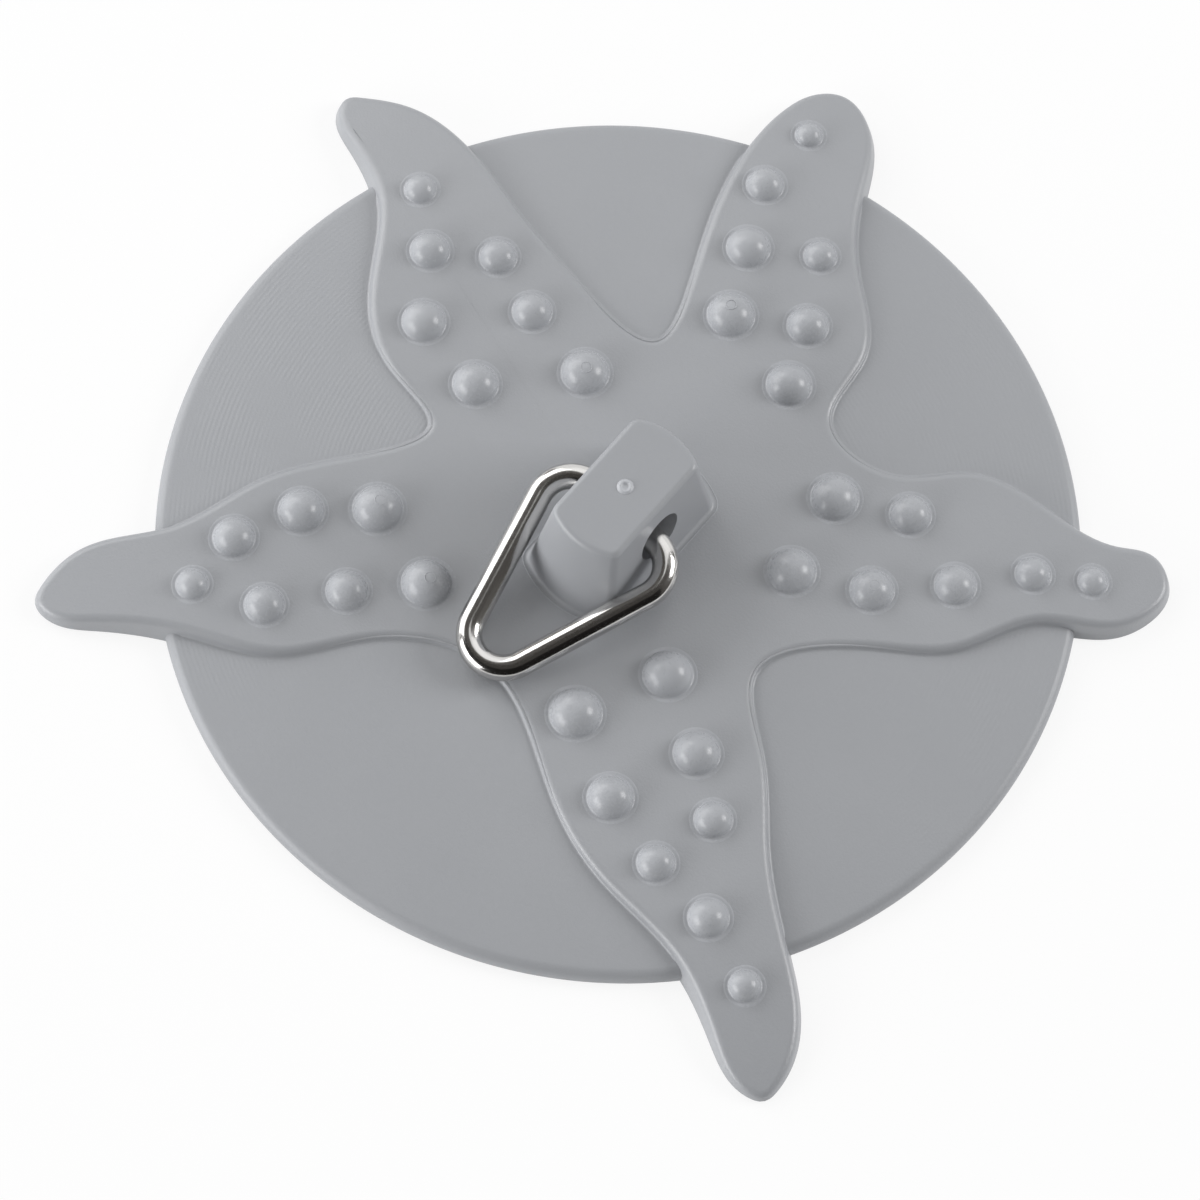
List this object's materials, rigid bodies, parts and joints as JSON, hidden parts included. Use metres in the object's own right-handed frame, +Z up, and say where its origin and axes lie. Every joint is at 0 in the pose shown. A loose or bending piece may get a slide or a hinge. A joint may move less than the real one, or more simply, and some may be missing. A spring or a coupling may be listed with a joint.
{
  "type": "drain stopper",
  "caption": "Flat flexible sealing disc with a raised starfish and a central lug that carries a loose wire pull ring, for covering a sink or bath drain.",
  "frame": {"origin": "middle of the disc's flat underside, which seals on the floor round the drain", "axes": "+Z up through the middle of the disc and the lug; X along the ring's hole through the lug; Y along the lug's flats, the ring lying towards -Y at rest"},
  "size_m": [0.1142, 0.1133, 0.0163],
  "materials": {
    "soft_rubber": "matte grey soft moulding with a fine grain, shinier on the domes",
    "ring_steel": "polished stainless wire"
  },
  "bodies": {
    "stopper": {"stopper_body": "soft_rubber"},
    "ring": {"pull_ring": "ring_steel"}
  },
  "joints": [
    {"name": "ring_swing", "type": "hinge", "parent": "stopper", "child": "ring", "pos_m": [0.00035, 0, 0.00927], "axis": [-1, 0, 0], "range_deg": [0, 200]}
  ]
}
